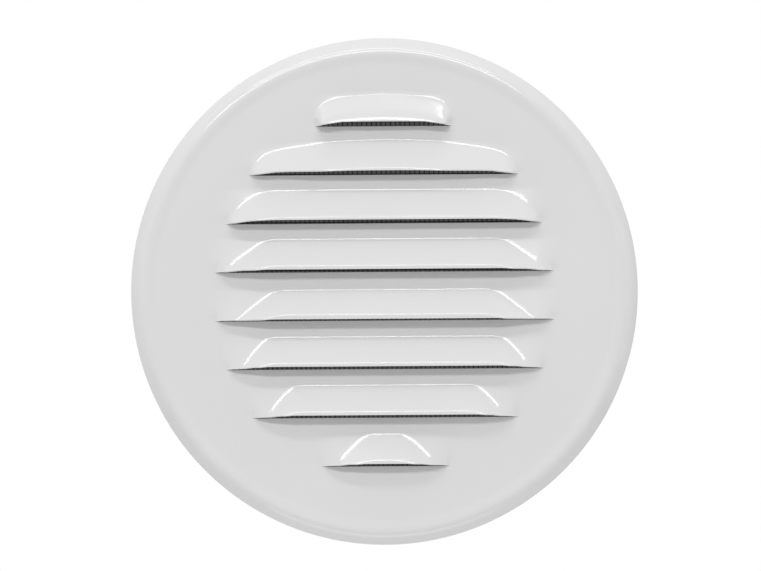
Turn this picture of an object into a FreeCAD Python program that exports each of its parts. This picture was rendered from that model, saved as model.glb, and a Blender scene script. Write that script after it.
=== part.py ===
"""Round louvred vent cover for a 125 mm duct: pressed steel face, collar, fly screen and spring clips.

Frame: millimetres, +Z up, -Y towards the room, +Y into the wall. The origin is the centre of the
wall plane, on which the edge of the face plate's rim seats.
"""

import FreeCAD
import Part
import Sketcher
import os

TOLERANCE = 1e-4
PARTS_FOLDER = "parts"

# Driving sizes in millimetres, and angles in degrees: alias, value, meaning.
SIZES = [
    ("face_diameter", 150.0, "outside diameter of the face plate"),
    ("sheet_thickness", 0.7, "steel sheet of the face plate"),
    ("skirt_height", 0.9, "upright edge, before rounding, that seats on the wall"),
    ("rim_width", 3.8, "bevel from the crest to the outside edge"),
    ("rim_angle", 45.0, "slope of the bevel, from the face"),
    ("rim_bend_radius", 3.4, "front radius of the crest"),
    ("rim_edge_radius", 1.2, "front radius between the bevel and the edge"),
    ("face_recess", 0.6, "flat face behind the rim crest"),
    ("swell_width", 3.7, "rise from the flat face to the crest"),
    ("swell_radius", 9.0, "radius where the flat face starts to rise"),
    ("louvre_inset", 1.65, "top crease inside the collar's bore"),
    ("slit_drop", 1.4, "middle of the slit pattern below the centre"),
    ("slit_kerf", 0.1, "width of the shear cut"),
    ("slit_end_step", 0.4, "from the slit's end to where its lip lies flat"),
    ("louvre_rise", 3.85, "lip in front of the flat face"),
    ("louvre_border", 2.05, "flat face taken in above a louvre's crease"),
    ("louvre_side", 1.6, "shear cut run on beyond the pressed slit, at each end"),
    ("lip_lift", 0.8, "lip edge above the slit, seen from the front"),
    ("lip_bend", 1.85, "upright lip, from the slit to its bend"),
    ("lip_blend", 0.4, "rounding of the slope into the lip"),
    ("crease_run", 0.65, "rounding of the slopes into the flat face, to each side"),
    ("end_lean", 0.45, "rise of a louvre's ends for each millimetre inwards"),
    ("skirt_lean", 0.28, "rise of the skirt for each millimetre below its top"),
    ("skirt_share", 0.85, "skirt's top as a share of the crease's height"),
    ("skirt_reach", 0.8, "skirt beyond the slit's end"),
    ("skirt_run", 7.0, "width over which the skirt fades out"),
    ("flange_margin", 1.4, "collar's flange to the rise of the face"),
    ("flange_width", 5.6, "collar's flange on the back of the face"),
    ("collar_thickness", 0.6, "steel strip of the collar"),
    ("collar_depth", 22.0, "collar behind the wall plane"),
    ("flange_bend_radius", 1.2, "outer bend between collar and flange"),
    ("screen_thickness", 0.6, "woven fly screen"),
    ("screen_clearance", 0.3, "fly screen to the collar's wall"),
    ("screen_border", 3.4, "closed border of the fly screen"),
    ("strand_pitch", 11.44, "one bar stands for eight strands of the weave"),
    ("strand_width", 1.6, "width of such a bar"),
    ("ring_wire", 2.0, "wire of the ring that holds the screen"),
    ("ring_gap_angle", 12.0, "opening of the split ring"),
    ("seat_gap", 0.05, "between round faces that seat on each other"),
    ("clip_thickness", 0.5, "spring strip"),
    ("clip_width_angle", 11.5, "spring strip's width about the duct axis"),
    ("clip_root_end", 1.5, "strip's root from the collar's back edge"),
    ("clip_root_length", 7.0, "root that lies on the collar"),
    ("clip_leaf_length", 9.5, "leaf from its root to its crest"),
    ("clip_leaf_rise", 3.2, "crest above the collar"),
    ("clip_tip_length", 2.6, "turned-in tip in front of the crest"),
    ("clip_tip_drop", 0.9, "tip below the crest"),
    ("clip_bend_radius", 2.0, "bends of the strip"),
    ("rivet_diameter", 3.1, "rivet shank"),
    ("rivet_head_diameter", 5.2, "rivet head"),
    ("rivet_head_height", 0.9, "rivet head"),
    ("rivet_tail_diameter", 4.4, "rivet's closed end inside the collar"),
    ("rivet_tail_height", 1.0, "rivet's closed end inside the collar"),
]
# Each louvre from the top: pitches above the middle, the slit's share of the collar's bore, the flat
# strip between the crease and the next slit, how far the ends' outline starts inside the slit's end,
# how much shorter it is at the crease, the power of its curve, and the crease's drop at its ends.
LOUVRES = [
    (3.5, 0.336, 4.7, 0.3, 7.0, 4.0, 0.6),
    (2.5, 0.664, 3.7, 0.3, 13.0, 1.9, 3.9),
    (1.5, 0.778, 4.1, 0.3, 12.0, 1.6, 0.3),
    (0.5, 0.836, 4.2, 1.7, 14.4, 1.0, 0.0),
    (-0.5, 0.836, 4.9, 6.3, 12.3, 1.05, 0.0),
    (-1.5, 0.783, 4.3, 5.1, 7.9, 1.4, 0.0),
    (-2.5, 0.654, 4.2, 4.4, 8.4, 1.4, 0.0),
    (-3.5, 0.316, 3.8, 4.4, 9.6, 1.5, 0.0),
]
for number, (pitches, share, gap, toe, corner, power, arch) in enumerate(LOUVRES, start=1):
    SIZES += [
        (f"louvre_{number}_pitches", pitches, "pitches above the middle"),
        (f"louvre_{number}_share", share, "slit length as a share of the collar's bore"),
        (f"louvre_{number}_gap", gap, "flat strip between the crease and the next slit"),
        (f"louvre_{number}_toe", toe, "start of the ends' outline inside the slit's end"),
        (f"louvre_{number}_corner", corner, "outline shorter at the crease, at each end"),
        (f"louvre_{number}_power", power, "power of the outline's curve"),
        (f"louvre_{number}_arch", arch, "crease lower at its ends"),
    ]
CLIP_ANGLES = (45, 135, 225, 315)
STRANDS_EACH_SIDE = 4
# Control points across each end of a louvre, beyond its slit, and across its even middle.
END_STEPS = 12
SIDE_STEPS = 4
MIDDLE_STEPS = 3
# How sharply a louvre's slope meets its ends.
HIP_POWER = 3

doc = FreeCAD.newDocument("round_vent_cover")
sheet = doc.addObject("Spreadsheet::Sheet", "Dimensions")
for row, (alias, value, meaning) in enumerate(SIZES, start=1):
    sheet.set(f"A{row}", meaning)
    sheet.set(f"B{row}", str(value))
    sheet.setAlias(f"B{row}", alias)
doc.recompute()


class Cells:
    """Gives each cell as the text of an expression, such as Dimensions.face_diameter."""

    def __getattr__(self, alias):
        return f"Dimensions.{alias}"


size = Cells()


def value_of(expression):
    """The number that an expression has now."""
    result = sheet.evalExpression(expression)
    return float(getattr(result, "Value", result))


def settle():
    """Works the document out, and stops at the first piece that fails."""
    doc.recompute()
    for item in doc.Objects:
        if {"Invalid", "Error"} & set(item.State):
            raise RuntimeError(f"{item.Label} failed: {item.State}")


def new_body(name):
    return doc.addObject("PartDesign::Body", name)


def origin_plane(body, role):
    return next(f for f in body.Origin.OriginFeatures if f.Role == role)


def new_sketch(body, name, role, offset="0"):
    """A sketch on one of the body's own planes, moved along that plane's normal by an expression."""
    sketch = body.newObject("Sketcher::SketchObject", name)
    sketch.AttachmentSupport = [(origin_plane(body, role), "")]
    sketch.MapMode = "FlatFace"
    sketch.setExpression("AttachmentOffset.Base.z", offset)
    return sketch


def draw_polygon(sketch, points):
    """A closed outline whose corners are pinned by pairs of expressions."""
    corners = [FreeCAD.Vector(value_of(x), value_of(y), 0) for x, y in points]
    count = len(corners)
    for i in range(count):
        sketch.addGeometry(Part.LineSegment(corners[i], corners[(i + 1) % count]))
    for i in range(count):
        sketch.addConstraint(Sketcher.Constraint("Coincident", i, 2, (i + 1) % count, 1))
    for i, (x, y) in enumerate(points):
        for kind, expression in (("DistanceX", x), ("DistanceY", y)):
            datum = Sketcher.Constraint(kind, -1, 1, i, 1, value_of(expression))
            sketch.setExpression(f"Constraints[{sketch.addConstraint(datum)}]", expression)


def revolve(body, name, sketch, axis, angle="360"):
    feature = body.newObject("PartDesign::Revolution", name)
    feature.Profile = sketch
    feature.ReferenceAxis = (sketch, [axis])
    feature.Midplane = True
    feature.setExpression("Angle", angle)
    settle()
    return feature


def round_edges(body, name, radius, chosen):
    """Fillets the edges of the body's last feature that the test picks."""
    base = body.Tip
    names = [f"Edge{i}" for i, e in enumerate(base.Shape.Edges, start=1) if chosen(e)]
    if not names:
        raise RuntimeError(f"{name} found no edge to round")
    feature = body.newObject("PartDesign::Fillet", name)
    feature.Base = (base, names)
    feature.setExpression("Radius", radius)
    settle()
    return feature


def near(a, b):
    return abs(a - b) < TOLERANCE


def circle_at(radius, depth):
    """Picks the circle about the duct axis with this radius, at this depth."""
    wanted_radius = value_of(radius)
    wanted_depth = value_of(depth)

    def chosen(edge):
        curve = edge.Curve
        if not isinstance(curve, Part.Circle):
            return False
        return near(curve.Radius, wanted_radius) and near(curve.Center.y, wanted_depth)

    return chosen


# Places along the duct axis, and radii, that several pieces share.
face_radius = f"({size.face_diameter} / 2)"
crest_radius = f"({face_radius} - {size.rim_width})"
swell_start = f"({crest_radius} - {size.swell_width})"
rim_depth = f"({size.skirt_height} + {size.rim_width} * tan({size.rim_angle}))"
face_front = f"(-({rim_depth} - {size.face_recess}))"
face_back = f"({face_front} + {size.sheet_thickness})"
lip_front = f"({face_front} - {size.louvre_rise})"
flange_edge = f"({swell_start} - {size.flange_margin})"
collar_outer = f"({flange_edge} - {size.flange_width})"
collar_inner = f"({collar_outer} - {size.collar_thickness})"
# The top louvre's crease lies just inside the collar, so the pitch follows from the collar's bore.
top_row = f"({size.louvre_1_pitches} + 1)"
louvre_pitch = (
    f"(({collar_inner} - {size.louvre_inset} + {size.slit_drop} + {size.louvre_1_gap}) / {top_row})"
)
flange_back = f"({face_back} + {size.collar_thickness})"
screen_back = f"({face_back} + {size.screen_thickness})"
clip_root_back = f"({size.collar_depth} - {size.clip_root_end})"
clip_outer = f"({collar_outer} + {size.clip_thickness})"
rivet_depth = f"({clip_root_back} - {size.clip_root_length} / 2)"
rivet_hole_radius = f"({size.rivet_diameter} / 2 + {size.seat_gap})"


def face_dish():
    """The face plate before its louvres: a flat disc that swells to a crest and bevels back to the wall."""
    thickness = size.sheet_thickness
    slope = f"tan({size.rim_angle})"
    swell_slope = f"(-{size.face_recess} / {size.swell_width})"
    front_edge = f"(-{rim_depth} + {size.rim_width} * {slope})"
    # The back of the bevel is the front moved square to itself by the sheet's thickness.
    back_shift = f"({thickness} / cos({size.rim_angle}))"
    back_crest_move = f"(({thickness} - {back_shift}) / ({slope} - {swell_slope}))"
    back_crest_radius = f"({crest_radius} + {back_crest_move})"
    back_crest = f"(-{rim_depth} + {thickness} + {swell_slope} * {back_crest_move})"
    back_edge_radius = f"({face_radius} - {thickness})"
    back_edge = (
        f"(-{rim_depth} + ({size.rim_width} - {thickness}) * {slope} + {back_shift})"
    )

    body = new_body("face_dish")
    profile = new_sketch(body, "rim_profile", "XY_Plane")
    draw_polygon(profile, [
        ("0", face_front),
        (swell_start, face_front),
        (crest_radius, f"-{rim_depth}"),
        (face_radius, front_edge),
        (face_radius, "0"),
        (back_edge_radius, "0"),
        (back_edge_radius, back_edge),
        (back_crest_radius, back_crest),
        (swell_start, face_back),
        ("0", face_back),
    ])
    revolve(body, "dish", profile, "V_Axis")
    for name, radius, ring, depth in (
        ("crest_front", size.rim_bend_radius, crest_radius, f"-{rim_depth}"),
        ("crest_back", f"{size.rim_bend_radius} - {thickness}", back_crest_radius, back_crest),
        ("edge_front", size.rim_edge_radius, face_radius, front_edge),
        ("edge_back", f"{size.rim_edge_radius} - {thickness}", back_edge_radius, back_edge),
        ("swell_front", size.swell_radius, swell_start, face_front),
        ("swell_back", f"{size.swell_radius} + {thickness}", swell_start, face_back),
    ):
        round_edges(body, name, radius, circle_at(ring, depth))
    return body


def soft_least(a, b, blend):
    """The smaller of two heights, eased where they are within blend of each other."""
    return min(a, b) - max(blend - abs(a - b), 0.0) ** 2 / (4 * blend)


def soft_most(a, b, blend):
    """The larger of two heights, eased where they are within blend of each other."""
    return max(a, b) + max(blend - abs(a - b), 0.0) ** 2 / (4 * blend)


def ease(share):
    """A smooth step from 0 to 1 as share goes from 0 to 1."""
    share = min(max(share, 0.0), 1.0)
    return share * share * (3 - 2 * share)


def spread(stops):
    """Places from stop to stop; each stop after the first says how many steps lead to it."""
    places = [stops[0]]
    for stop, steps in stops[1:]:
        start = places[-1]
        places += [start + (stop - start) * (n + 1) / steps for n in range(steps)]
    return places


def spline_knots(count):
    """Knots and their multiplicities for a clamped cubic with this many control points."""
    spans = count - 3
    return [n / spans for n in range(spans + 1)], [4] + [1] * (spans - 1) + [4]


def louvre_sheet(number):
    """One louvre as it is pressed, run on below its slit: a free-form sheet of even thickness.

    Its rise is the least of three: a slope up from the crease, a slope in from the outline of each
    end, and the full height of the lip. Outside the outline a shallow skirt runs out past the slit's
    end, where it closes to the face. Each slope meets the next in an eased edge.
    """
    half = value_of(half_slit(number))
    toe = value_of(louvre_size(number, "toe"))
    corner = value_of(louvre_size(number, "corner"))
    power = value_of(louvre_size(number, "power"))
    arch = value_of(louvre_size(number, "arch"))
    height = value_of(louvre_height(number))
    rise = value_of(size.louvre_rise)
    lift = value_of(size.lip_lift)
    bend = value_of(size.lip_bend)
    lip_blend = value_of(size.lip_blend)
    crease_run = value_of(size.crease_run)
    end_lean = value_of(size.end_lean)
    skirt_lean = value_of(size.skirt_lean)
    skirt_share = value_of(size.skirt_share)
    skirt_reach = value_of(size.skirt_reach)
    skirt_run = value_of(size.skirt_run)
    border = value_of(size.louvre_border)
    beyond_slit = 1.5 * value_of(size.louvre_side)
    end_step = value_of(size.slit_end_step)
    front = value_of(face_front)
    slit = value_of(slit_height(number))

    def pressed_out(x, up):
        side = abs(x)
        crease = height - arch * (x / half) ** 2
        slope = soft_most(crease - up, 0.0, crease_run) * rise / (height - bend)
        outline = half - toe - corner * min(max(up / height, 0.0), 1.0) ** power
        fade = ease((half + skirt_reach - side) / skirt_run)
        skirt = skirt_lean * max(skirt_share * crease - up, 0.0) * fade
        closing = ease((side + end_step - half) / (skirt_run - skirt_reach) + 1)
        opening = 1 - closing * (1 - ease((up - bend) / (0.4 * height)))
        end = (soft_most(outline - side, 0.0, crease_run) * end_lean + skirt) * opening
        if min(slope, end) == 0.0:
            return 0.0
        hipped = slope * end / (slope ** HIP_POWER + end ** HIP_POWER) ** (1 / HIP_POWER)
        return soft_least(hipped, rise, lip_blend)

    even = max(half - toe - corner - border, half / 8)
    across = spread([
        -half - beyond_slit, (-half - 2 * end_step, SIDE_STEPS),
        (2 * end_step - half, 4), (-even, END_STEPS),
    ])
    across = across + spread([-even, (even, MIDDLE_STEPS)])[1:-1] + [-x for x in reversed(across)]
    upwards = spread([
        -border, (0.0, 2), (lift, 1), (bend, 1), (bend + border / 2, 1),
        (height - border / 2, 4), (height, 1), (height + 1.5 * border, 4),
    ])
    poles = [[FreeCAD.Vector(x, front - pressed_out(x, up), slit + up) for up in upwards] for x in across]
    knots_across, repeats_across = spline_knots(len(across))
    knots_up, repeats_up = spline_knots(len(upwards))
    surface = Part.BSplineSurface()
    surface.buildFromPolesMultsKnots(
        poles, repeats_across, repeats_up, knots_across, knots_up, False, False, 3, 3
    )
    pressed = doc.addObject("Part::Feature", f"louvre_{number}_sheet")
    pressed.Shape = surface.toShape().extrude(FreeCAD.Vector(0, value_of(size.sheet_thickness), 0))
    return pressed


def louvre_size(number, word):
    """One of a louvre's own sizes."""
    return getattr(size, f"louvre_{number}_{word}")


def louvre_height(number):
    """Height of a louvre's crease above its slit."""
    return f"({louvre_pitch} - {louvre_size(number, 'gap')})"


def slit_height(number):
    """Height of a louvre's slit above the centre of the face."""
    return f"({louvre_size(number, 'pitches')} * {louvre_pitch} - {size.slit_drop})"


def half_slit(number):
    """Half the length of a louvre's slit."""
    return f"({louvre_size(number, 'share')} * {collar_inner})"


def louvre_window(name, number, drop):
    """The part of the face that one louvre takes up: a prism whose underside is the slit's cut.

    The cut leans up towards the room, so the lip ends above the slit once it is pressed out.
    drop lowers the cut, by the kerf where the prism opens the face.
    """
    slit = f"({slit_height(number)} - {drop})"
    near_reach = f"({lip_front} - {size.louvre_border})"
    far_reach = f"({face_back} + {size.louvre_border})"
    lean = f"({size.lip_lift} / {size.louvre_rise})"
    top = f"({slit_height(number)} + {louvre_height(number)} + {size.louvre_border})"
    body = new_body(name)
    section = new_sketch(body, f"{name}_section", "YZ_Plane")
    draw_polygon(section, [
        (near_reach, f"{slit} + ({face_front} - {near_reach}) * {lean}"),
        (far_reach, f"{slit} + ({face_front} - {far_reach}) * {lean}"),
        (far_reach, top),
        (near_reach, top),
    ])
    prism = body.newObject("PartDesign::Pad", f"{name}_prism")
    prism.Profile = section
    prism.Midplane = True
    prism.setExpression("Length", f"2 * ({half_slit(number)} + {size.louvre_side})")
    settle()
    return body


def boolean(kind, name, first, second):
    result = doc.addObject(f"Part::{kind}", name)
    result.Base = first
    result.Tool = second
    settle()
    return result


def face_plate():
    """The dish with a window cut for each louvre, and each louvre's pressed sheet set in its window."""
    openings = []
    louvres = []
    for number in range(1, len(LOUVRES) + 1):
        edge = louvre_window(f"louvre_{number}_edge", number, "0")
        louvres.append(boolean("Common", f"louvre_{number}", louvre_sheet(number), edge))
        openings.append(louvre_window(f"louvre_{number}_opening", number, size.slit_kerf))
    all_openings = doc.addObject("Part::MultiFuse", "louvre_openings")
    all_openings.Shapes = openings
    plain = boolean("Cut", "face_between_louvres", face_dish(), all_openings)
    plate = doc.addObject("Part::MultiFuse", "face_plate")
    plate.Shapes = [plain, *louvres]
    plate.Refine = True
    settle()
    return plate


def duct_collar():
    """A rolled strip with a flange turned out on the back of the face, and a hole for each clip's rivet."""
    body = new_body("duct_collar")
    profile = new_sketch(body, "collar_profile", "XY_Plane")
    draw_polygon(profile, [
        (collar_inner, face_back),
        (flange_edge, face_back),
        (flange_edge, flange_back),
        (collar_outer, flange_back),
        (collar_outer, size.collar_depth),
        (collar_inner, size.collar_depth),
    ])
    revolve(body, "collar_strip", profile, "V_Axis")
    bend = f"{size.flange_bend_radius} - {size.collar_thickness}"
    round_edges(body, "flange_bend_front", size.flange_bend_radius, circle_at(collar_inner, face_back))
    round_edges(body, "flange_bend_back", bend, circle_at(collar_outer, flange_back))
    holes = [rivet_hole(body, f"collar_hole_{angle}", angle) for angle in CLIP_ANGLES]
    body.Tip = holes[-1]
    return body


def rivet_hole(body, name, angle):
    """A hole square to the duct axis, at this angle about it."""
    hole = body.newObject("PartDesign::SubtractiveCylinder", name)
    hole.Placement = about_duct_axis(angle, radial_axis_placement())
    hole.setExpression("Radius", rivet_hole_radius)
    hole.setExpression("Height", face_radius)
    settle()
    return hole


def radial_axis_placement():
    """Turns a cylinder's own axis to point outwards along +X, at the rivets' depth."""
    turn = FreeCAD.Rotation(FreeCAD.Vector(0, 1, 0), 90)
    return FreeCAD.Placement(FreeCAD.Vector(0, value_of(rivet_depth), 0), turn)


def about_duct_axis(angle, placement=FreeCAD.Placement()):
    turn = FreeCAD.Rotation(FreeCAD.Vector(0, 1, 0), angle)
    return FreeCAD.Placement(FreeCAD.Vector(), turn).multiply(placement)


def insect_screen():
    """A round of fly screen with a closed border; each bar stands for a group of strands."""
    radius = f"({collar_inner} - {size.screen_clearance})"

    def disc(name, disc_radius):
        cylinder = doc.addObject("Part::Cylinder", name)
        cylinder.setExpression("Radius", disc_radius)
        cylinder.setExpression("Height", size.screen_thickness)
        turn = FreeCAD.Rotation(FreeCAD.Vector(1, 0, 0), -90)
        cylinder.Placement = FreeCAD.Placement(FreeCAD.Vector(), turn)
        cylinder.setExpression("Placement.Base.y", face_back)
        return cylinder

    def bar(name, step, across, along):
        strand = doc.addObject("Part::Box", name)
        strand.setExpression(across[0], size.strand_width)
        strand.setExpression(along[0], f"2 * {radius}")
        strand.setExpression("Width", size.screen_thickness)
        strand.setExpression("Placement.Base.y", face_back)
        strand.setExpression(
            f"Placement.Base.{across[1]}", f"{step} * {size.strand_pitch} - {size.strand_width} / 2"
        )
        strand.setExpression(f"Placement.Base.{along[1]}", f"-{radius}")
        return strand

    upright, level = ("Length", "x"), ("Height", "z")
    bars = []
    for n in range(2 * STRANDS_EACH_SIDE + 1):
        bars.append(bar(f"warp_{n}", n - STRANDS_EACH_SIDE, upright, level))
        bars.append(bar(f"weft_{n}", n - STRANDS_EACH_SIDE, level, upright))
    weave = doc.addObject("Part::MultiFuse", "weave")
    weave.Shapes = bars
    trimmed = boolean("Common", "trimmed_weave", weave, disc("weave_round", radius))
    clear = disc("screen_clear", f"{radius} - {size.screen_border}")
    edge = boolean("Cut", "screen_edge", disc("screen_round", radius), clear)
    screen = doc.addObject("Part::MultiFuse", "insect_screen")
    screen.Shapes = [trimmed, edge]
    screen.Refine = True
    return screen


def screen_ring():
    """A split ring of spring wire, in the corner between the screen and the collar's wall."""
    wire_radius = f"({size.ring_wire} / 2)"
    ring = doc.addObject("Part::Torus", "screen_ring")
    ring.setExpression("Radius1", f"{collar_inner} - {wire_radius} - {size.seat_gap}")
    ring.setExpression("Radius2", wire_radius)
    ring.setExpression("Angle3", f"360 - {size.ring_gap_angle}")
    # The gap is turned to the bottom of the ring.
    lay_flat = FreeCAD.Rotation(FreeCAD.Vector(1, 0, 0), -90)
    to_bottom = FreeCAD.Rotation(FreeCAD.Vector(0, 1, 0), 90 + value_of(f"{size.ring_gap_angle} / 2"))
    ring.Placement = FreeCAD.Placement(FreeCAD.Vector(), to_bottom.multiply(lay_flat))
    ring.setExpression("Placement.Base.y", f"{screen_back} + {wire_radius} + {size.seat_gap}")
    return ring


def spring_clip(number, angle):
    """A strip riveted to the collar by its root; its leaf springs out and grips the duct."""
    name = f"spring_clip_{number}"
    root_front = f"({clip_root_back} - {size.clip_root_length})"
    crest_depth = f"({root_front} - {size.clip_leaf_length})"
    crest = f"({collar_outer} + {size.clip_leaf_rise})"
    tip_depth = f"({crest_depth} - {size.clip_tip_length})"
    tip = f"({crest} - {size.clip_tip_drop})"
    thickness = size.clip_thickness
    body = new_body(name)
    profile = new_sketch(body, f"{name}_profile", "XY_Plane")
    draw_polygon(profile, [
        (collar_outer, clip_root_back),
        (collar_outer, root_front),
        (crest, crest_depth),
        (tip, tip_depth),
        (f"{tip} + {thickness}", tip_depth),
        (f"{crest} + {thickness}", crest_depth),
        (f"{collar_outer} + {thickness}", root_front),
        (f"{collar_outer} + {thickness}", clip_root_back),
    ])
    revolve(body, f"{name}_strip", profile, "V_Axis", size.clip_width_angle)
    outer_bend = size.clip_bend_radius
    inner_bend = f"{size.clip_bend_radius} - {thickness}"
    for part_name, radius, ring, depth in (
        ("root_inside", outer_bend, collar_outer, root_front),
        ("root_outside", inner_bend, f"{collar_outer} + {thickness}", root_front),
        ("crest_inside", inner_bend, crest, crest_depth),
        ("crest_outside", outer_bend, f"{crest} + {thickness}", crest_depth),
    ):
        round_edges(body, f"{name}_{part_name}", radius, circle_at(ring, depth))
    body.Tip = rivet_hole(body, f"{name}_hole", 0)
    body.Placement = about_duct_axis(angle)
    return body


def clip_rivets():
    """One rivet for each clip: a domed head on the strip, a shank, and a closed end inside the collar."""
    head_under = clip_outer
    head_top = f"({head_under} + {size.rivet_head_height})"
    tail_top = f"({collar_inner} - {size.seat_gap})"
    tail_end = f"({tail_top} - {size.rivet_tail_height})"
    shank = f"({size.rivet_diameter} / 2)"
    head = f"({size.rivet_head_diameter} / 2)"
    tail = f"({size.rivet_tail_diameter} / 2)"
    rivets = []
    for number, angle in enumerate(CLIP_ANGLES, start=1):
        body = new_body(f"rivet_{number}")
        profile = new_sketch(body, f"rivet_{number}_profile", "XY_Plane")
        draw_polygon(profile, [
            (tail_end, "0"),
            (head_top, "0"),
            (head_top, f"{head} / 2"),
            (head_under, head),
            (head_under, shank),
            (tail_top, shank),
            (tail_top, tail),
            (tail_end, tail),
        ])
        revolve(body, f"rivet_{number}_turned", profile, "H_Axis")
        round_edges(
            body, f"rivet_{number}_tail_end", f"{size.rivet_tail_height} / 2",
            lambda e: isinstance(e.Curve, Part.Circle)
            and near(e.Curve.Center.x, value_of(tail_end)),
        )
        along = FreeCAD.Placement(FreeCAD.Vector(0, value_of(rivet_depth), 0), FreeCAD.Rotation())
        body.Placement = about_duct_axis(angle, along)
        rivets.append(body)
    group = doc.addObject("Part::Compound", "clip_rivets")
    group.Links = rivets
    return group


def check_and_write(pieces):
    """Stops if anything in the document failed, then writes each piece to its own file."""
    settle()
    os.makedirs(PARTS_FOLDER, exist_ok=True)
    for label, piece in pieces.items():
        piece.Label = label
        shape = piece.Shape
        if shape.isNull() or not shape.isValid() or not shape.Solids:
            raise RuntimeError(f"{label} has no valid solid")
        print(f"{label}: {len(shape.Solids)} solids, {shape.Volume:.2f} mm3, {len(shape.Faces)} faces")
        shape.exportStep(f"{PARTS_FOLDER}/{label}.step")


def main():
    pieces = {
        "face_plate": face_plate(),
        "duct_collar": duct_collar(),
        "insect_screen": insect_screen(),
        "screen_ring": screen_ring(),
    }
    for number, angle in enumerate(CLIP_ANGLES, start=1):
        pieces[f"spring_clip_{number}"] = spring_clip(number, angle)
    pieces["clip_rivets"] = clip_rivets()
    check_and_write(pieces)


main()
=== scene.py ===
"""Dresses the round vent cover: pressed white face, woven fly screen, collar, spring clips and a studio.

Lengths are metres in the frame of the solids: +Z up, -Y towards the room, the wall at Y = 0.
"""

import math
from collections import namedtuple

import bpy
import numpy as np
from bpy.props import FloatProperty, IntProperty, PointerProperty, StringProperty
from bpy.types import Operator, Panel, PropertyGroup
from mathutils import Matrix, Vector


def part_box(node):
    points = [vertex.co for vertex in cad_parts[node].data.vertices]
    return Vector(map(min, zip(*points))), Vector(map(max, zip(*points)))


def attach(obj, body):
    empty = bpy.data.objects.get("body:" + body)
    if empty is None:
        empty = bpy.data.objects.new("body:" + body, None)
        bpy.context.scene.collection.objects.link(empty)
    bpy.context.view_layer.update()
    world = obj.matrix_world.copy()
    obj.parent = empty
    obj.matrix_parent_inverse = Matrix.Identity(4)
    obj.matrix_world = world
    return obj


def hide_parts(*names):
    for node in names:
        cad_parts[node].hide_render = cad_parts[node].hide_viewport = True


bl_info = {
    "name": "Round vent cover",
    "version": (1, 0, 0),
    "blender": (4, 5, 0),
    "location": "3D View > Sidebar > Vent cover",
    "description": "Dresses the solids of a round louvred vent cover and sets up its studio",
    "category": "Object",
}

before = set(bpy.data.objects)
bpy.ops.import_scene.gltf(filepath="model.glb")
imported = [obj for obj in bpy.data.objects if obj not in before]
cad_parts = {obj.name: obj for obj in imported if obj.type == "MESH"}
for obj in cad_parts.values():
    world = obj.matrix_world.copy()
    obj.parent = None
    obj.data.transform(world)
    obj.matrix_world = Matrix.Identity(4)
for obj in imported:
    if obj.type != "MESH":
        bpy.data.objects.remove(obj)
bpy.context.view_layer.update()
MM = 0.001
WELD_TOLERANCE = 0.0005 * MM
SPLIT_ANGLE = math.radians(40)

FACE_HIGH = Vector(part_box("face_plate")[1])
SCREEN_LOW, SCREEN_HIGH = (Vector(corner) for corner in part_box("insect_screen"))
COLLAR_LOW, COLLAR_HIGH = (Vector(corner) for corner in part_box("duct_collar"))
RING_LOW, RING_HIGH = (Vector(corner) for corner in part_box("screen_ring"))

# The photograph: its size, the vent's middle in it, and pixels to the millimetre on the flat face.
PHOTO_WIDTH = 761
PHOTO_HEIGHT = 571
VENT_PIXEL = (384.0, 291.0)
PIXELS_PER_MM = 3.397

Louvre = namedtuple("Louvre", "pitches half toe corner power crease arch lift crease_blend lip_blend")

# Each louvre from the top: pitches above the middle, half its slit, from the slit's end in to the
# outline's foot, how much shorter the outline is at the crease, the power of that inset's curve, the
# crease above the slit, its drop at the ends, the lip's lift and the roundings of crease and lip, all
# in millimetres but for the first and the power.
LOUVRES = (
    Louvre(3.5, 20.1, 0.1, 14.0, 5.0, 9.8, 1.3, 1.1, 0.8, 1.2),
    Louvre(2.5, 39.8, 0.3, 13.0, 1.9, 10.6, 3.9, 0.9, 0.6, 0.2),
    Louvre(1.5, 46.6, 0.3, 12.0, 1.6, 10.3, 0.3, 0.85, 0.9, 0.2),
    Louvre(0.5, 50.1, 1.7, 14.4, 1.0, 10.1, 0.0, 0.65, 0.8, 0.2),
    Louvre(-0.5, 50.1, 6.3, 12.3, 1.05, 9.4, 0.0, 0.35, 0.8, 0.2),
    Louvre(-1.5, 46.9, 5.1, 7.9, 1.4, 10.0, 0.0, 0.75, 0.8, 0.2),
    Louvre(-2.5, 39.2, 4.4, 8.4, 1.4, 10.1, 0.0, 0.75, 0.8, 0.2),
    Louvre(-3.5, 18.9, 4.4, 9.6, 1.5, 10.3, 0.0, 0.75, 1.2, 0.2),
)

# Slope of the sheet that is drawn up about a louvre's ends, the share of the louvre's height in which
# it closes to the face at the slit's end, and the least share of the outline's rounding.
DRAWN_LEAN = 0.27
SHUT_SHARE = 0.4
LEAST_ROUNDING = 1e-6

# Bare metal: how bright a mark is beside the plain metal, and how far its roughness differs.
MARK_SHADE = 0.85
MARK_GLOSS = 0.08

# Each lamp: degrees above the face's normal, degrees to its right, distance, width and height in
# metres, and watts.
LAMPS = (
    ("high_lamp", 61.5, -8, 2.5, 2.6, 0.22, 17.0),
    ("low_lamp", 37, -8, 2.5, 2.6, 0.18, 24.5),
    ("top_board", 80, 0, 1.0, 0.9, 0.5, 1.7),
    ("left_board", 0, -80, 1.0, 0.6, 0.6, 1.45),
    ("right_board", 0, 80, 1.0, 0.6, 0.6, 1.75),
    ("under_board", -80, 0, 0.48, 0.5, 0.2, 0.45),
)


def length(name, description, default):
    """A property that holds a length in metres."""
    return FloatProperty(name=name, description=description, default=default, unit="LENGTH", precision=5)


def colour(name, description, default):
    """A property that holds an sRGB hex colour."""
    return StringProperty(name=name, description=description, default=default)


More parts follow.
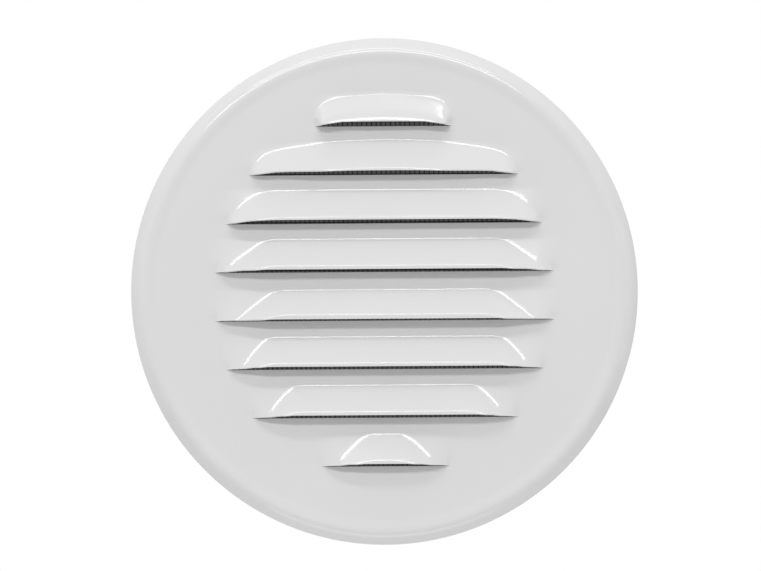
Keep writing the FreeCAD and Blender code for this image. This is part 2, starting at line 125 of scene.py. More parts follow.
class VentFaceSizes(PropertyGroup):
    """Sizes of the pressed face."""

    radius: length("Radius", "Outside radius of the face", FACE_HIGH.x)
    sheet: length("Sheet", "Thickness of the steel sheet", 0.7 * MM)
    flat_radius: length("Flat radius", "Flat field that holds the louvres", 66.0 * MM)
    skirt: length("Skirt", "Upright edge that seats on the wall", 0.9 * MM)
    rim_width: length("Rim width", "Bevel from the crest to the edge", 3.8 * MM)
    rim_radius: length("Rim radius", "Rounding of the crest", 3.4 * MM)
    edge_radius: length("Edge radius", "Rounding of the outside edge", 1.2 * MM)
    recess: length("Recess", "Flat field behind the crest", 0.6 * MM)
    swell_width: length("Swell width", "Rise from the flat field to the crest", 3.7 * MM)
    swell_radius: length("Swell radius", "Rounding where the field starts to rise", 9.0 * MM)
    pitch: length("Louvre pitch", "From one slit to the next", 14.3 * MM)
    drop: length("Slit drop", "Middle of the slits below the centre", 1.4 * MM)
    rise: length("Louvre rise", "Lip in front of the flat field", 3.8 * MM)
    bend: length("Lip bend", "Bend of the slope into the lip, above the slit", 1.75 * MM)
    outline_blend: length("Outline blend", "Depth of the rounding along the outline", 0.07 * MM)
    corner_blend: length("Corner blend", "Rounding of the outline into the crease", 2.5 * MM)
    drawn_reach: length("Drawn reach", "How far the sheet is drawn up beyond a slit's end", 2.5 * MM)
    drawn_run: length("Drawn run", "Length over which the drawn sheet rises", 9.0 * MM)
    kerf: length("Kerf", "Gap that the shear leaves along a slit", 0.25 * MM)
    lift_run: length("Lift run", "Length over which the lip's lift grows from a slit's end", 8.0 * MM)
    shut_run: length("Shut run", "Length over which the lip closes at a slit's end", 2.0 * MM)
    columns: IntProperty(name="Columns", description="Grid steps across the flat field", default=180)


class VentScreenSizes(PropertyGroup):
    """Sizes of the woven fly screen."""

    radius: length("Radius", "Radius of the round of screen", SCREEN_HIGH.x)
    pitch: length("Strand pitch", "18 strands to the inch", 1.411 * MM)
    strand: length("Strand", "Diameter of one coated strand", 0.34 * MM)
    weave: length("Weave", "How far a strand passes over and under", 0.11 * MM)


class VentCollarSizes(PropertyGroup):
    """Sizes of the collar and of the ring inside it."""

    outer: length("Outer radius", "Outside of the collar's wall", 60.5 * MM)
    strip: length("Strip", "Thickness of the collar's strip", 0.6 * MM)
    bend: length("Bend", "Front rounding between wall and flange", 1.2 * MM)
    weld_radius: length("Weld radius", "Dent that a spot weld leaves", 2.0 * MM)
    weld_depth: length("Weld depth", "Dent that a spot weld leaves", 0.16 * MM)
    welds: IntProperty(name="Welds", description="Spot welds round the flange", default=8)
    ring_wire: length("Ring wire", "Diameter of the split ring's wire", 2.0 * MM)
    ring_gap: FloatProperty(
        name="Ring gap", description="Opening of the split ring", default=math.radians(12), subtype="ANGLE"
    )


class VentFinishes(PropertyGroup):
    """Colours of the materials."""

    coat: colour("Powder coat", "White of the face and collar", "#E6E6E6")
    coat_shade: colour("Powder coat shade", "Where the coat lies thinner", "#E2E2E2")
    screen: colour("Screen", "Charcoal vinyl of the fly screen", "#1E1E20")
    wire: colour("Wire", "Galvanised wire", "#B4B6B8")
    strip: colour("Strip", "Rolled spring steel", "#9A9C9E")
    rivet: colour("Rivet", "Plain aluminium", "#C4C6C8")
    floor: colour("Floor", "Pale studio floor", "#EDEDED")


class VentStudio(PropertyGroup):
    """Camera and light."""

    camera_distance: length("Camera distance", "From the lens to the flat face", 0.65)
    roll: FloatProperty(
        name="Roll", description="Lean of the camera", default=math.radians(-0.4), subtype="ANGLE"
    )
    floor_drop: length("Floor drop", "Floor below the vent's middle", 0.50)
    room_light: FloatProperty(name="Room light", description="Strength of the even light", default=0.33)
    duct_light: FloatProperty(
        name="Duct light", description="Strength of the light in the duct", default=0.065
    )


def hex_to_linear(text):
    """An sRGB hex colour as linear red, green, blue and full alpha."""
    channels = np.array([int(text[i:i + 2], 16) for i in (1, 3, 5)]) / 255
    linear = np.where(channels <= 0.04045, channels / 12.92, ((channels + 0.055) / 1.055) ** 2.4)
    return (*linear.tolist(), 1.0)


def shaded(linear, share):
    """A linear colour made darker or lighter by a share, with full alpha."""
    return (*(share * channel for channel in linear[:3]), 1.0)


def add_node(tree, kind, inputs=None, **settings):
    """Adds a node, sets its settings, and gives each input a value or a link from another socket."""
    node = tree.nodes.new(kind)
    for name, value in settings.items():
        setattr(node, name, value)
    for name, value in (inputs or {}).items():
        if isinstance(value, bpy.types.NodeSocket):
            tree.links.new(value, node.inputs[name])
        else:
            node.inputs[name].default_value = value
    return node


def new_material(name):
    """A new material with an empty node tree."""
    if name in bpy.data.materials:
        raise RuntimeError(f"there is already a material called {name}")
    material = bpy.data.materials.new(name)
    material.use_nodes = True
    tree = material.node_tree
    tree.nodes.clear()
    return material, tree


def object_place(tree):
    """Socket that gives the point on the piece, in metres."""
    return add_node(tree, "ShaderNodeTexCoord").outputs["Object"]


def finish_material(tree, shader):
    """Leads a shader to the material's output."""
    add_node(tree, "ShaderNodeOutputMaterial", {"Surface": shader.outputs[0]})


def waves_per_metre(size):
    """Scale of a noise whose features are this many metres across."""
    return 1 / size


def powder_coat(finishes):
    """Polyester powder coat, baked on steel: an even white with a soft gloss and a faint orange peel."""
    material, tree = new_material("baked_powder_coat")
    place = object_place(tree)
    cloud = add_node(tree, "ShaderNodeTexNoise", {
        "Vector": place, "Scale": waves_per_metre(35 * MM), "Detail": 2.0,
    })
    tint = add_node(tree, "ShaderNodeMix", {
        "Factor": cloud.outputs["Fac"],
        "A": hex_to_linear(finishes.coat_shade),
        "B": hex_to_linear(finishes.coat),
    }, data_type="RGBA")
    peel = add_node(tree, "ShaderNodeTexNoise", {
        "Vector": place, "Scale": waves_per_metre(1.1 * MM), "Detail": 1.0,
    })
    sag = add_node(tree, "ShaderNodeTexNoise", {
        "Vector": place, "Scale": waves_per_metre(14 * MM), "Detail": 1.0,
    })
    # The sheet itself is not quite flat after pressing.
    sheet = add_node(tree, "ShaderNodeBump", {
        "Height": sag.outputs["Fac"], "Strength": 1.0, "Distance": 0.05 * MM,
    })
    skin = add_node(tree, "ShaderNodeBump", {
        "Height": peel.outputs["Fac"],
        "Strength": 1.0,
        "Distance": 0.006 * MM,
        "Normal": sheet.outputs["Normal"],
    })
    gloss = add_node(tree, "ShaderNodeMapRange", {
        "Value": cloud.outputs["Fac"], "To Min": 0.10, "To Max": 0.15,
    })
    shader = add_node(tree, "ShaderNodeBsdfPrincipled", {
        "Base Color": tint.outputs["Result"],
        "Roughness": gloss.outputs["Result"],
        "IOR": 1.5,
        "Normal": skin.outputs["Normal"],
    })
    finish_material(tree, shader)
    return material


def screen_vinyl(finishes):
    """Glass-fibre yarn dipped in charcoal vinyl: dark, with a dull sheen that varies along the strand."""
    material, tree = new_material("charcoal_vinyl_screen")
    grain = add_node(tree, "ShaderNodeTexNoise", {
        "Vector": object_place(tree), "Scale": waves_per_metre(0.5 * MM), "Detail": 1.0,
    })
    dark = hex_to_linear(finishes.screen)
    tint = add_node(tree, "ShaderNodeMix", {
        "Factor": grain.outputs["Fac"],
        "A": shaded(dark, 0.7),
        "B": shaded(dark, 1.4),
    }, data_type="RGBA")
    shader = add_node(tree, "ShaderNodeBsdfPrincipled", {
        "Base Color": tint.outputs["Result"], "Roughness": 0.6, "IOR": 1.38,
    })
    finish_material(tree, shader)
    return material


def worked_metal(name, hex_colour, roughness, line_size, stretch):
    """Bare metal whose rolling or drawing marks are a noise drawn out along one direction."""
    material, tree = new_material(name)
    lines = add_node(tree, "ShaderNodeMapping", {"Vector": object_place(tree), "Scale": stretch})
    marks = add_node(tree, "ShaderNodeTexNoise", {
        "Vector": lines.outputs["Vector"], "Scale": waves_per_metre(line_size), "Detail": 2.0,
    })
    bright = hex_to_linear(hex_colour)
    tint = add_node(tree, "ShaderNodeMix", {
        "Factor": marks.outputs["Fac"],
        "A": shaded(bright, MARK_SHADE),
        "B": bright,
    }, data_type="RGBA")
    gloss = add_node(tree, "ShaderNodeMapRange", {
        "Value": marks.outputs["Fac"], "To Min": roughness - MARK_GLOSS, "To Max": roughness + MARK_GLOSS,
    })
    scratch = add_node(tree, "ShaderNodeBump", {
        "Height": marks.outputs["Fac"], "Strength": 1.0, "Distance": 0.004 * MM,
    })
    shader = add_node(tree, "ShaderNodeBsdfPrincipled", {
        "Base Color": tint.outputs["Result"],
        "Metallic": 1.0,
        "Roughness": gloss.outputs["Result"],
        "Normal": scratch.outputs["Normal"],
    })
    finish_material(tree, shader)
    return material


def get_material(name):
    """A material that an earlier operator made, by name."""
    return bpy.data.materials[name]


def soft_least(a, b, blend):
    """The smaller of two surfaces, eased by a parabola where they are within blend of each other."""
    return np.minimum(a, b) - np.maximum(blend - np.abs(a - b), 0) ** 2 / (4 * blend)


def soft_most(a, b, blend):
    """The larger of two surfaces, eased by a parabola where they are within blend of each other."""
    return np.maximum(a, b) + np.maximum(blend - np.abs(a - b), 0) ** 2 / (4 * blend)


def spread(*stops):
    """Places from stop to stop: each stop after the first is a pair, where it is and the steps to it."""
    places = [np.array([stops[0]])]
    for stop, steps in stops[1:]:
        places.append(np.linspace(places[-1][-1], stop, steps + 1)[1:])
    return np.concatenate(places)


def rounded_profile(corners, radii, steps):
    """A line of straight runs whose corners are arcs.

    At each inner corner the arc of its radius touches both runs: it starts and ends radius times
    the tangent of half the turn from the corner, and is sampled evenly in angle.
    """
    corners = np.array(corners, dtype=float)
    points = [corners[:1]]
    for before, corner, after, radius, count in zip(corners, corners[1:], corners[2:], radii, steps):
        along_in = (corner - before) / np.linalg.norm(corner - before)
        along_out = (after - corner) / np.linalg.norm(after - corner)
        turn = math.acos(float(np.clip(along_in @ along_out, -1, 1)))
        start = corner - along_in * radius * math.tan(turn / 2)
        side = along_out - along_in * math.cos(turn)
        side = side / np.linalg.norm(side)
        angles = np.linspace(0, turn, count + 1)[:, None]
        points.append(start + radius * (np.sin(angles) * along_in + (1 - np.cos(angles)) * side))
    points.append(corners[-1:])
    return np.concatenate(points)


def grid_faces(rows, columns, start=0, closed_rows=False, closed_columns=False):
    """Corner numbers of the quads of a grid of points that is stored row by row."""
    numbers = np.arange(rows * columns).reshape(rows, columns) + start
    if closed_rows:
        numbers = np.concatenate([numbers, numbers[:1]], axis=0)
    if closed_columns:
        numbers = np.concatenate([numbers, numbers[:, :1]], axis=1)
    quads = (numbers[:-1, :-1], numbers[:-1, 1:], numbers[1:, 1:], numbers[1:, :-1])
    return np.stack(quads, axis=-1).reshape(-1, 4)


def new_piece(name, points, quads, material, smooth=True):
    """Makes a mesh object at the origin from arrays of points and four-cornered faces.

    A face that has two neighbouring corners in one point becomes a triangle.
    """
    kept = quads != np.roll(quads, 1, axis=1)
    corners = quads[kept].astype(np.int32)
    starts = np.concatenate([[0], np.cumsum(kept.sum(axis=1))[:-1]]).astype(np.int32)
    mesh = bpy.data.meshes.new(name)
    mesh.vertices.add(len(points))
    mesh.vertices.foreach_set("co", np.ascontiguousarray(points, dtype=np.float32).ravel())
    mesh.loops.add(len(corners))
    mesh.loops.foreach_set("vertex_index", corners)
    mesh.polygons.add(len(quads))
    mesh.polygons.foreach_set("loop_start", starts)
    mesh.polygons.foreach_set("use_smooth", np.full(len(quads), smooth))
    mesh.update(calc_edges=True)
    mesh.materials.append(material)
    piece = bpy.data.objects.new(name, mesh)
    bpy.context.scene.collection.objects.link(piece)
    return piece


def weld_points(points, quads, tolerance):
    """Joins points that lie on each other, and drops the faces that this leaves with no area."""
    keys = np.round(points / tolerance).astype(np.int64)
    first, joined = np.unique(keys, axis=0, return_index=True, return_inverse=True)[1:]
    quads = joined.reshape(-1)[quads]
    sides = (quads != np.roll(quads, 1, axis=1)).sum(axis=1)
    return points[first], quads[sides >= 3]


def ease(value):
    """0 below 0, 1 above 1, and a smooth rise between."""
    share = np.clip(value, 0, 1)
    return share * share * (3 - 2 * share)


def pressed_out(x, up, louvre, sizes):
    """How far one louvre stands out of the flat face, at x and at a height above its slit.

    About the louvre the sheet is drawn up gently from the crease's height to the slit, and closes to
    the face at the slit's end. Inside the outline it falls from the lip as steeply as the main slope,
    lowered in each column so that the two meet on the outline. The louvre is the larger of the two,
    and no more than the lip's rise. With rounded joins, and below as the height under the crease, that
    is min(rise, max(below lean - (crease - outline) (lean - drawn), below drawn)).
    """
    half, toe, corner = louvre.half * MM, louvre.toe * MM, louvre.corner * MM
    height, arch = louvre.crease * MM, louvre.arch * MM
    side = np.abs(x)
    lean = sizes.rise / (height - sizes.bend)
    crease = height - arch * (x / half) ** 2
    below = soft_most(crease - up, 0, louvre.crease_blend * MM)
    inward = (half - toe - side) / corner
    outline = height * (np.maximum(inward, 0) ** (1 / louvre.power) + np.minimum(inward, 0))
    outline = soft_least(outline, crease, sizes.corner_blend)
    drawn = DRAWN_LEAN * ease((half + sizes.drawn_reach - side) / sizes.drawn_run)
    inside = below * lean - (crease - outline) * (lean - drawn)
    rounding = sizes.outline_blend * np.clip(1 - outline / crease, LEAST_ROUNDING, 1)
    pressed = soft_most(inside, below * drawn, rounding)
    beyond = ease((side - half) / sizes.shut_run + 1)
    shut = 1 - beyond * (1 - ease(up / (SHUT_SHARE * height)))
    return soft_least(pressed * shut, sizes.rise, louvre.lip_blend * MM)


def louvre_strip(louvre, ups, field_radius, front, sizes):
    """One strip of the face, from its slit up to the next slit, as rows of points.

    A row runs across the round field at one height: x is the half chord there times an even step from
    -1 to 1. The lip's edge moves up by the kerf and, where it is pressed out fully, by the lift. Both
    shrink to nothing at the slit's ends, and the shift fades out above the lip.
    """
    slit = louvre.pitches * sizes.pitch - sizes.drop
    half, lift = louvre.half * MM, louvre.lift * MM
    steps = np.linspace(-1, 1, sizes.columns + 1)[None, :]
    heights = slit + ups[:, None]
    half_chord = np.sqrt(np.maximum(field_radius ** 2 - heights ** 2, 0))
    x = half_chord * steps
    lip = pressed_out(x, np.zeros_like(x), louvre, sizes) / sizes.rise
    inward = np.maximum(half - np.abs(x), 0)
    raised = lift * lip * np.minimum(inward / sizes.lift_run, 1)
    raised = raised + sizes.kerf * np.minimum(inward / sizes.shut_run, 1)
    shifted = ups[:, None] + raised * np.clip(1 - ups[:, None] / (sizes.bend + lift), 0, 1)
    out = pressed_out(x, shifted, louvre, sizes)
    out = np.where((ups[:, None] <= 0) & (np.abs(x) >= half), 0, out)
    return np.stack([x, front - out, slit + shifted], axis=-1)


def plain_strip(heights, field_radius, front, sizes):
    """The flat foot of the field, below the last slit, as rows of points across the round field."""
    steps = np.linspace(-1, 1, sizes.columns + 1)[None, :]
    half_chord = np.sqrt(np.maximum(field_radius ** 2 - heights[:, None] ** 2, 0))
    x = half_chord * steps
    return np.stack([x, np.full_like(x, front), np.broadcast_to(heights[:, None], x.shape)], axis=-1)


def face_surface(sizes):
    """Front of the face: strips of louvres across a round field, and a turned rim about it.

    The rim's points stand at the angles at which the rows of the field meet its edge, so the two join.
    """
    field = sizes.flat_radius
    rim_depth = sizes.skirt + sizes.rim_width
    front = sizes.recess - rim_depth
    top_rows, foot_rows = 12, 18
    blocks = []
    for louvre in LOUVRES:
        slit = louvre.pitches * sizes.pitch - sizes.drop
        crease = louvre.crease * MM
        # Rows lie closest at the lip's bend and at the crease, where the sheet turns most.
        ups = spread(
            0.0, (sizes.bend * 0.6, 3), (sizes.bend * 1.4, 4), (crease - 0.9 * MM, 6),
            (crease + 0.7 * MM, 8), (sizes.pitch, 3),
        )
        # Above the first crease there is no slit, and the rows run on to the top of the field.
        if louvre is LOUVRES[0]:
            top_angle = math.asin((slit + ups[-4]) / field)
            ups = np.concatenate([
                ups[:-3], field * np.sin(np.linspace(top_angle, math.pi / 2, top_rows)[1:]) - slit,
            ])
        blocks.append(louvre_strip(louvre, ups, field, front, sizes))
    foot_top = LOUVRES[-1].pitches * sizes.pitch - sizes.drop
    foot = field * np.sin(np.linspace(-math.pi / 2, math.asin(foot_top / field), foot_rows))
    blocks.append(plain_strip(foot, field, front, sizes))

    points = []
    quads = []
    count = 0
    for block in blocks:
        rows, columns = block.shape[:2]
        quads.append(grid_faces(rows, columns, count))
        points.append(block.reshape(-1, 3))
        count += rows * columns

    edge_heights = np.unique(np.round(np.concatenate([block[:, -1, 2] for block in blocks]), 9))
    right = np.arcsin(np.clip(edge_heights / field, -1, 1))
    angles = np.concatenate([right, math.pi - right[-2:0:-1]])
    crest = sizes.radius - sizes.rim_width
    profile = rounded_profile(
        [
            (field, front),
            (crest - sizes.swell_width, front),
            (crest, -rim_depth),
            (sizes.radius, -sizes.skirt),
            (sizes.radius, 0.0),
        ],
        [sizes.swell_radius, sizes.rim_radius, sizes.edge_radius],
        [3, 8, 4],
    )
    ring = np.stack([
        profile[None, :, 0] * np.cos(angles)[:, None],
        np.broadcast_to(profile[None, :, 1], (len(angles), len(profile))),
        profile[None, :, 0] * np.sin(angles)[:, None],
    ], axis=-1)
    quads.append(grid_faces(len(angles), len(profile), count, closed_rows=True))
    points.append(ring.reshape(-1, 3))
    return np.concatenate(points), np.concatenate(quads)


class VENT_OT_materials(Operator):
    """Makes every finish of the vent cover"""

    bl_idname = "vent.materials"
    bl_label = "Finishes"

    def execute(self, context):
        finishes = context.scene.vent_finishes
        powder_coat(finishes)
        screen_vinyl(finishes)
        # Drawn wire, hot-dip galvanised: dull silver with a soft mottle.
        worked_metal("galvanised_wire", finishes.wire, 0.42, 1.5 * MM, (1, 1, 1))
        # Cold-rolled strip: fine lines along the rolling direction, which is the duct's axis.
        worked_metal("rolled_spring_steel", finishes.strip, 0.34, 0.4 * MM, (1, 0.05, 1))
        # Aluminium headed cold in a die: bright, and slightly rough.
        worked_metal("headed_aluminium", finishes.rivet, 0.3, 0.8 * MM, (1, 1, 1))
        return {"FINISHED"}


class VENT_OT_face(Operator):
    """Makes the pressed and painted face with its louvres"""

    bl_idname = "vent.face"
    bl_label = "Face plate"

    def execute(self, context):
        sizes = context.scene.vent_face
        points, quads = weld_points(*face_surface(sizes), WELD_TOLERANCE)
        piece = new_piece("louvred_face", points, quads, get_material("baked_powder_coat"))
        wall = piece.modifiers.new("sheet", "SOLIDIFY")
        wall.thickness = sizes.sheet
        wall.offset = -1.0
        crisp = piece.modifiers.new("cut_edges", "EDGE_SPLIT")
        crisp.split_angle = SPLIT_ANGLE
        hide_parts("face_plate")
        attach(piece, "root")
        return {"FINISHED"}


def strands(sizes, middle, over):
    """One set of parallel strands of a plain weave, as square tubes through every crossing.

    Strand i lies at (i + 1/2) pitches; at crossing j it passes to one side or the other of the middle
    plane by (-1) to the power i + j. Only crossings inside the round are kept. over is 1 or -1.
    """
    count = int(sizes.radius // sizes.pitch)
    places = (np.arange(-count, count) + 0.5) * sizes.pitch
    across, along = np.meshgrid(places, places, indexing="ij")
    inside = np.hypot(across, along) < sizes.radius - sizes.strand
    i, j = np.meshgrid(np.arange(2 * count), np.arange(2 * count), indexing="ij")
    depth = middle + over * sizes.weave * np.where((i + j) % 2 == 0, 1.0, -1.0)
    turn = np.arange(4) * math.pi / 2 + math.pi / 4
    reach = sizes.strand / 2 * math.sqrt(2)
    points = np.stack([
        across[..., None] + reach * np.cos(turn),
        depth[..., None] + reach * np.sin(turn),
        np.broadcast_to(along[..., None], along.shape + (4,)),
    ], axis=-1)
    numbers = np.arange(points[..., 0].size).reshape(points.shape[:3])
    near_end, far_end = numbers[:, :-1], numbers[:, 1:]
    kept = inside[:, :-1] & inside[:, 1:]
    sides = np.stack([
        near_end, np.roll(near_end, -1, axis=2), np.roll(far_end, -1, axis=2), far_end,
    ], axis=-1)[kept].reshape(-1, 4)
    padded = np.pad(inside, ((0, 0), (1, 1)))
    starts = numbers[inside & ~padded[:, :-2]]
    ends = numbers[inside & ~padded[:, 2:]]
    quads = np.concatenate([sides, starts[:, ::-1], ends])
    used, quads = np.unique(quads, return_inverse=True)
    return points.reshape(-1, 3)[used], quads.reshape(-1, 4)


class VENT_OT_screen(Operator):
    """Weaves the fly screen behind the slits"""

    bl_idname = "vent.screen"
    bl_label = "Fly screen"

    def execute(self, context):
        sizes = context.scene.vent_screen
        middle = (SCREEN_LOW.y + SCREEN_HIGH.y) / 2
        warp, warp_quads = strands(sizes, middle, 1)
        weft, weft_quads = strands(sizes, middle, -1)
        # The weft is the warp turned a quarter about the duct's axis.
        weft = np.stack([-weft[:, 2], weft[:, 1], weft[:, 0]], axis=-1)
        points = np.concatenate([warp, weft])
        quads = np.concatenate([warp_quads, weft_quads + len(warp)])
        material = get_material("charcoal_vinyl_screen")
        piece = new_piece("woven_screen", points, quads, material, smooth=False)
        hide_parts("insect_screen")
        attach(piece, "root")
        return {"FINISHED"}


class VENT_OT_collar(Operator):
    """Turns the collar with its flange and the dents of its spot welds"""

    bl_idname = "vent.collar"
    bl_label = "Duct collar"
    segments = 480
    flange_points = 14

    def execute(self, context):
        sizes = context.scene.vent_collar
        points, quads = self.turned_strip(sizes)
        piece = new_piece("flanged_collar", points, quads, get_material("baked_powder_coat"))
        crisp = piece.modifiers.new("cut_edges", "EDGE_SPLIT")
        crisp.split_angle = SPLIT_ANGLE
        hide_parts("duct_collar")
        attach(piece, "root")
        return {"FINISHED"}

    def turned_strip(self, sizes):
        """The strip's closed profile turned about the duct's axis; a weld dents the flange's back.

        A dent is its depth times a bell curve of the distance from the weld's middle.
        """
        front, back = COLLAR_LOW.y, COLLAR_HIGH.y
        inner = sizes.outer - sizes.strip
        edge = COLLAR_HIGH.x
        flange_back = front + sizes.strip
        outside = rounded_profile(
            [(edge, flange_back), (sizes.outer, flange_back), (sizes.outer, back)],
            [sizes.bend - sizes.strip], [4],
        )
        inside = rounded_profile([(inner, back), (inner, front), (edge, front)], [sizes.bend], [6])
        flange = np.linspace(edge, sizes.outer + sizes.bend, self.flange_points)[:-1]
        flange = np.stack([flange, np.full_like(flange, flange_back)], axis=-1)
        profile = np.concatenate([flange, outside[1:], inside])
        angles = np.arange(self.segments) * 2 * math.pi / self.segments
        radius = np.broadcast_to(profile[None, :, 0], (self.segments, len(profile)))
        depth = np.broadcast_to(profile[None, :, 1], radius.shape).copy()
        weld_angle = 2 * math.pi / sizes.welds
        nearest = (angles + weld_angle / 2) % weld_angle - weld_angle / 2
        weld_ring = (edge + sizes.outer) / 2
        away = np.hypot(radius - weld_ring, nearest[:, None] * weld_ring)
        dent = sizes.weld_depth * np.exp(-(away / sizes.weld_radius) ** 4)
        depth = depth - np.where(np.isclose(depth, flange_back), dent, 0)
        points = np.stack([
            radius * np.cos(angles)[:, None], depth, radius * np.sin(angles)[:, None],
        ], axis=-1)
        quads = grid_faces(self.segments, len(profile), closed_rows=True, closed_columns=True)
        return points.reshape(-1, 3), quads


class VENT_OT_ring(Operator):
    """Bends the split ring of wire that holds the screen"""

    bl_idname = "vent.ring"
    bl_label = "Screen ring"
    along = 240
    around = 16
    # As shares of the wire's radius.
    chamfer = 0.2
    closed_end = 0.02

    def execute(self, context):
        sizes = context.scene.vent_collar
        wire = sizes.ring_wire / 2
        middle = (RING_LOW.y + RING_HIGH.y) / 2
        radius = (RING_HIGH.x - RING_LOW.x) / 2 - wire
        # A circle of wire is carried round the duct's axis, from one side of the gap at the bottom to
        # the other.
        start = sizes.ring_gap / 2 - math.pi / 2
        swept = np.linspace(start, start + 2 * math.pi - sizes.ring_gap, self.along)
        # Each end closes in three narrowing circles, so the cut wire has a small chamfer.
        share = np.ones(self.along)
        share[[0, -1]] = self.closed_end
        share[[1, -2]] = 1 - self.chamfer
        swept[1] = swept[0]
        swept[-2] = swept[-1]
        swept[2] = swept[0] + self.chamfer * wire / radius
        swept[-3] = swept[-1] - self.chamfer * wire / radius
        turn = np.arange(self.around) * 2 * math.pi / self.around
        reach = radius + wire * share[:, None] * np.cos(turn)
        points = np.stack([
            reach * np.cos(swept)[:, None],
            middle + wire * share[:, None] * np.sin(turn),
            reach * np.sin(swept)[:, None],
        ], axis=-1)
        quads = grid_faces(self.along, self.around, closed_columns=True)[:, ::-1]
        piece = new_piece("split_ring", points.reshape(-1, 3), quads, get_material("galvanised_wire"))
        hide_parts("screen_ring")
        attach(piece, "root")
        return {"FINISHED"}


class VENT_OT_clips(Operator):
    """Finishes the spring clips and their rivets, whose solids stay"""

    bl_idname = "vent.clips"
    bl_label = "Clips and rivets"

    def execute(self, context):
        finish = {f"spring_clip_{n}": "rolled_spring_steel" for n in range(1, 5)}
        finish["clip_rivets"] = "headed_aluminium"
        for node, material in finish.items():
            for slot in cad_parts[node].material_slots:
                slot.material = get_material(material)
        return {"FINISHED"}


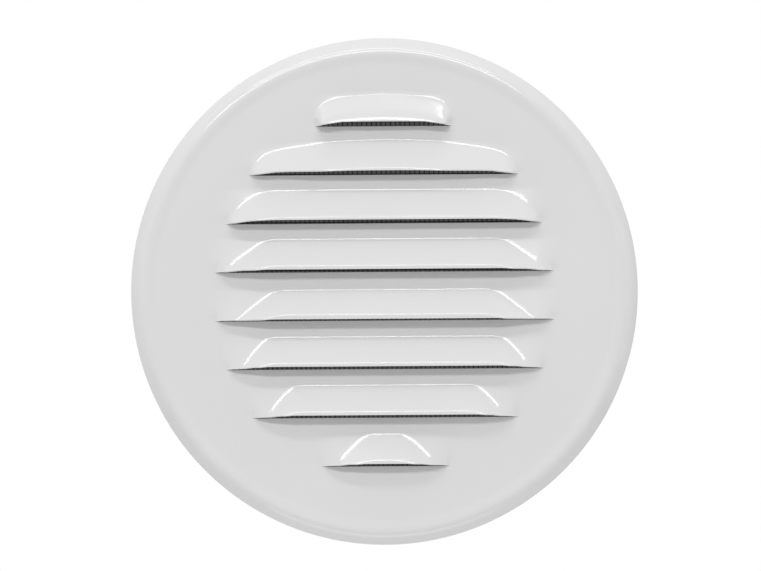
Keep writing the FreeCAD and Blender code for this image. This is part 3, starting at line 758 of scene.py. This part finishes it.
class VENT_OT_stage(Operator):
    """Sets the floor, the lamps, the even light and the camera"""

    bl_idname = "vent.stage"
    bl_label = "Studio"
    floor_half = 1.0
    veil_sides = 64
    veil_depth = 4.0 * MM

    def execute(self, context):
        studio = context.scene.vent_studio
        context.scene.view_settings.view_transform = "Standard"
        self.add_floor(context, studio)
        self.add_veil(context)
        for lamp in LAMPS:
            self.add_lamp(context, *lamp)
        self.light_room(context, studio)
        self.add_camera(context, studio)
        return {"FINISHED"}

    def add_floor(self, context, studio):
        """A pale square well below the vent."""
        half = self.floor_half
        drop = -studio.floor_drop
        corners = np.array([
            (-half, -half, drop), (half, -half, drop), (half, half, drop), (-half, half, drop),
        ])
        material, tree = new_material("pale_floor")
        shade = add_node(tree, "ShaderNodeTexNoise", {
            "Vector": object_place(tree), "Scale": waves_per_metre(0.4),
        })
        pale = hex_to_linear(context.scene.vent_finishes.floor)
        tint = add_node(tree, "ShaderNodeMix", {
            "Factor": shade.outputs["Fac"], "A": shaded(pale, 0.97), "B": pale,
        }, data_type="RGBA")
        finish_material(tree, add_node(tree, "ShaderNodeBsdfPrincipled", {
            "Base Color": tint.outputs["Result"], "Roughness": 0.8,
        }))
        floor = new_piece("floor", corners, np.array([[0, 1, 2, 3]]), material)

    def add_veil(self, context):
        """A clear disc across the collar, by which the room's light knows rays that are in the duct."""
        material, tree = new_material("clear_veil")
        finish_material(tree, add_node(tree, "ShaderNodeBsdfTransparent"))
        angles = np.arange(self.veil_sides) * 2 * math.pi / self.veil_sides
        sizes = context.scene.vent_collar
        reach = np.array([0.0, sizes.outer - sizes.strip])[:, None]
        depth = np.full((2, self.veil_sides), self.veil_depth)
        points = np.stack([reach * np.cos(angles), depth, reach * np.sin(angles)], axis=-1).reshape(-1, 3)
        quads = grid_faces(2, self.veil_sides, closed_columns=True)
        new_piece("veil", *weld_points(points, quads, WELD_TOLERANCE), material)

    def add_lamp(self, context, name, above, beside, distance, width, height, power):
        """A long lamp that faces the vent, turned up and then aside from the face's normal."""
        lamp = bpy.data.lights.new(name, "AREA")
        lamp.energy = power
        lamp.shape = "RECTANGLE"
        lamp.size = width
        lamp.size_y = height
        holder = bpy.data.objects.new(name, lamp)
        up, side = math.radians(above), math.radians(beside)
        towards = Vector((math.sin(side) * math.cos(up), -math.cos(side) * math.cos(up), math.sin(up)))
        holder.location = towards * distance
        holder.rotation_euler = towards.to_track_quat("Z", "Y").to_euler()
        holder.visible_camera = False
        context.scene.collection.objects.link(holder)

    def light_room(self, context, studio):
        """Even light from all round; the background itself is plain white, also in gloss."""
        world = bpy.data.worlds.new("studio")
        world.use_nodes = True
        tree = world.node_tree
        tree.nodes.clear()
        rays = add_node(tree, "ShaderNodeLightPath")
        seen = add_node(tree, "ShaderNodeMath", {
            0: rays.outputs["Is Camera Ray"], 1: rays.outputs["Is Glossy Ray"],
        }, operation="MAXIMUM")
        shown = add_node(tree, "ShaderNodeMath", {
            0: seen.outputs[0], 1: rays.outputs["Is Transmission Ray"],
        }, operation="MAXIMUM")
        # A ray that has gone through the veil in the collar has looked into the duct, where it is dark.
        inside = add_node(tree, "ShaderNodeMath", {
            0: rays.outputs["Transparent Depth"], 1: 0.5,
        }, operation="GREATER_THAN")
        white = (1, 1, 1, 1)
        even = add_node(tree, "ShaderNodeBackground", {"Color": white, "Strength": studio.room_light})
        plain = add_node(tree, "ShaderNodeBackground", {"Color": white, "Strength": 1.0})
        dim = add_node(tree, "ShaderNodeBackground", {"Color": white, "Strength": studio.duct_light})
        room = add_node(tree, "ShaderNodeMixShader", {
            0: shown.outputs[0], 1: even.outputs[0], 2: plain.outputs[0],
        })
        choice = add_node(tree, "ShaderNodeMixShader", {
            0: inside.outputs[0], 1: room.outputs[0], 2: dim.outputs[0],
        })
        add_node(tree, "ShaderNodeOutputWorld", {"Surface": choice.outputs[0]})
        context.scene.world = world

    def add_camera(self, context, studio):
        """Straight on, with the lens that gives the photograph's scale at the flat face."""
        data = bpy.data.cameras.new("photo_camera")
        data.sensor_fit = "HORIZONTAL"
        data.lens = PIXELS_PER_MM / MM * studio.camera_distance * data.sensor_width / PHOTO_WIDTH
        data.shift_x = -(VENT_PIXEL[0] - (PHOTO_WIDTH - 1) / 2) / PHOTO_WIDTH
        data.shift_y = (VENT_PIXEL[1] - (PHOTO_HEIGHT - 1) / 2) / PHOTO_WIDTH
        data.clip_start = 0.01
        camera = bpy.data.objects.new("photo_camera", data)
        sizes = context.scene.vent_face
        front = sizes.recess - sizes.skirt - sizes.rim_width
        level = Matrix.Rotation(math.pi / 2, 4, "X")
        place = Matrix.Translation((0, front - studio.camera_distance, 0))
        camera.matrix_world = place @ level @ Matrix.Rotation(studio.roll, 4, "Z")
        context.scene.collection.objects.link(camera)
        context.scene.camera = camera


class VENT_PT_panel(Panel):
    """Lists what dresses the vent cover"""

    bl_label = "Vent cover"
    bl_space_type = "VIEW_3D"
    bl_region_type = "UI"
    bl_category = "Vent cover"

    def draw(self, context):
        for operator in OPERATORS:
            self.layout.operator(operator.bl_idname)
        for group in PROPERTY_GROUPS:
            box = self.layout.box()
            for name in PROPERTY_GROUPS[group].__annotations__:
                box.prop(getattr(context.scene, group), name)


PROPERTY_GROUPS = {
    "vent_face": VentFaceSizes,
    "vent_screen": VentScreenSizes,
    "vent_collar": VentCollarSizes,
    "vent_finishes": VentFinishes,
    "vent_studio": VentStudio,
}
OPERATORS = (
    VENT_OT_materials,
    VENT_OT_face,
    VENT_OT_screen,
    VENT_OT_collar,
    VENT_OT_ring,
    VENT_OT_clips,
    VENT_OT_stage,
)


def register():
    for group_name, group in PROPERTY_GROUPS.items():
        bpy.utils.register_class(group)
        setattr(bpy.types.Scene, group_name, PointerProperty(type=group))
    for operator in OPERATORS:
        bpy.utils.register_class(operator)
    bpy.utils.register_class(VENT_PT_panel)


def unregister():
    bpy.utils.unregister_class(VENT_PT_panel)
    for operator in reversed(OPERATORS):
        bpy.utils.unregister_class(operator)
    for group_name, group in PROPERTY_GROUPS.items():
        delattr(bpy.types.Scene, group_name)
        bpy.utils.unregister_class(group)


def main():
    register()
    bpy.ops.vent.materials()
    bpy.ops.vent.face()
    bpy.ops.vent.screen()
    bpy.ops.vent.collar()
    bpy.ops.vent.ring()
    bpy.ops.vent.clips()
    bpy.ops.vent.stage()


if __name__ == "__main__":
    main()
